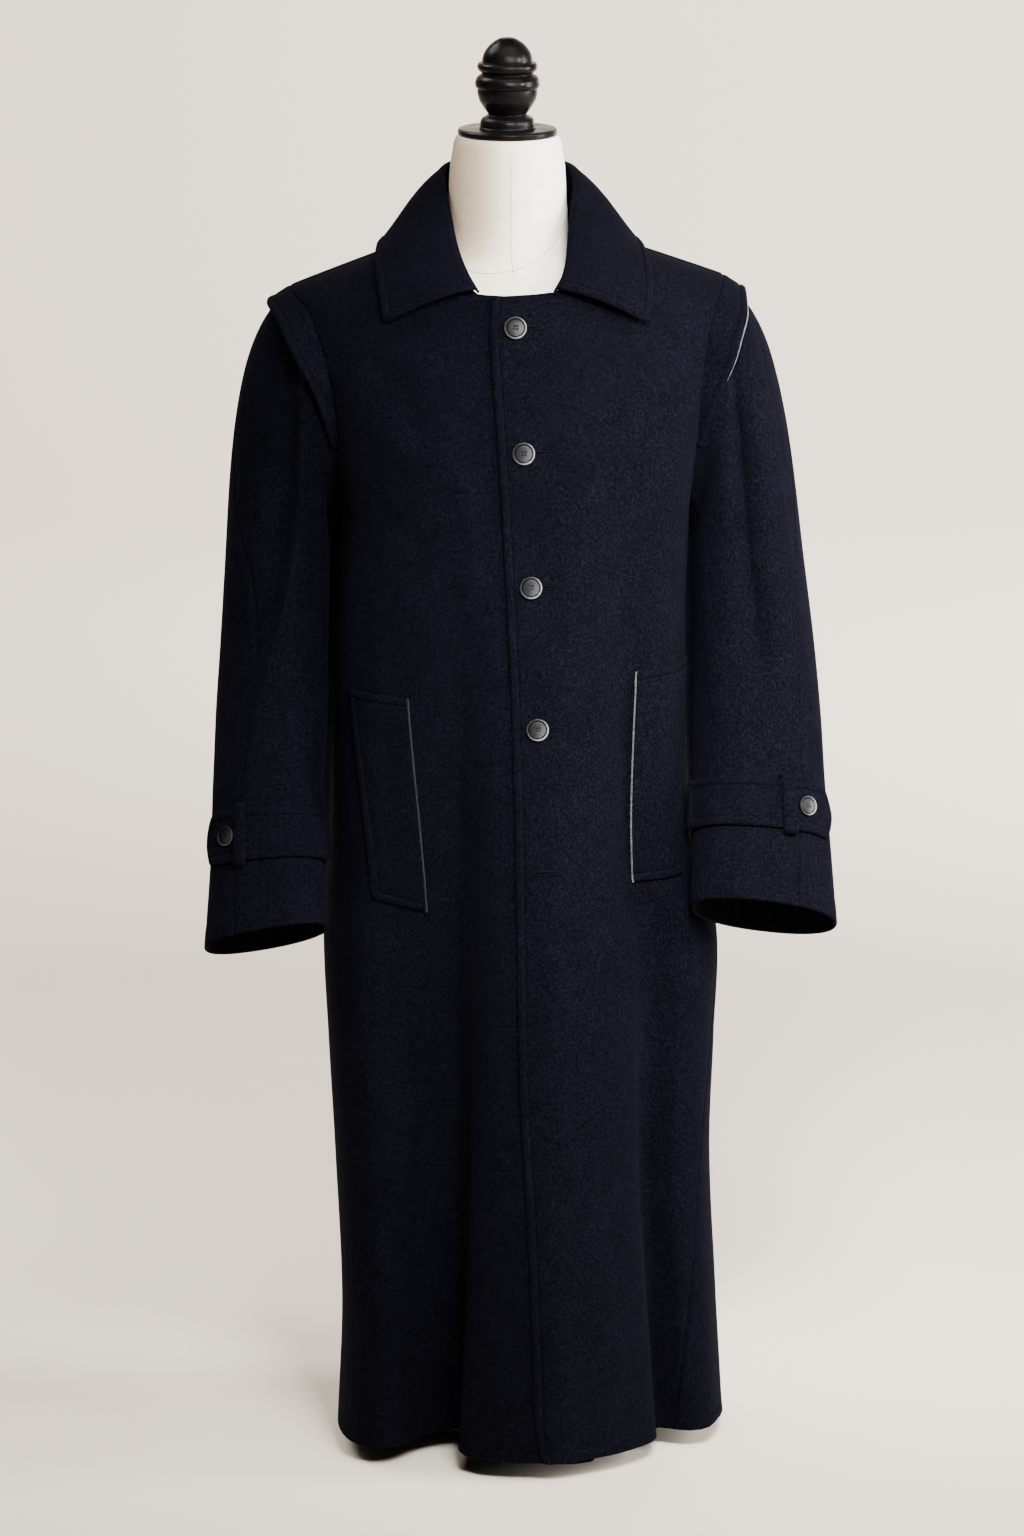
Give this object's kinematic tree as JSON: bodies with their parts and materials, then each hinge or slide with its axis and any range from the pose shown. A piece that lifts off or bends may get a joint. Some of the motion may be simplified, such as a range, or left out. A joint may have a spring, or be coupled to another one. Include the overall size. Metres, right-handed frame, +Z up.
{
  "type": "wool overcoat on a limbless dress form",
  "caption": "Long wool overcoat with a turn-down collar, shoulder flanges, slanted patch pockets and strapped cuffs, buttoned up on a linen dress form with a turned neck finial.",
  "frame": {"origin": "middle of the underside of the form's base plate", "axes": "+Z up, -Y out of the coat's front, +X towards the wearer's left"},
  "size_m": [0.6257, 0.3515, 1.4243],
  "materials": {
    "wool_melton": "dark navy wool melton with a soft brushed nap",
    "grey_binding": "pale grey woven binding",
    "dark_button": "dark grey polished button with a raised rim",
    "form_linen": "off-white linen over a padded form",
    "black_lacquer": "black gloss lacquer on turned wood",
    "dark_steel": "dark satin steel"
  },
  "bodies": {
    "root": {"back": "wool_melton", "collar_fall": "wool_melton", "collar_stand": "wool_melton", "cuff_strap_left": "wool_melton", "cuff_strap_right": "wool_melton", "flange_left": "wool_melton", "flange_right": "wool_melton", "front_left": "wool_melton", "front_right": "wool_melton", "pocket_left": "wool_melton", "pocket_right": "wool_melton", "sleeve_back_left": "wool_melton", "sleeve_back_right": "wool_melton", "sleeve_front_left": "wool_melton", "sleeve_front_right": "wool_melton", "strap_loop_left": "wool_melton", "strap_loop_right": "wool_melton", "pocket_binding_left": "grey_binding", "pocket_binding_right": "grey_binding", "cuff_button_left": "dark_button", "cuff_button_right": "dark_button", "front_button_1": "dark_button", "front_button_2": "dark_button", "front_button_3": "dark_button", "front_button_4": "dark_button", "form_torso": "form_linen", "neck_disc": "black_lacquer", "neck_finial": "black_lacquer", "form_pole": "dark_steel", "form_base": "dark_steel"}
  },
  "joints": []
}
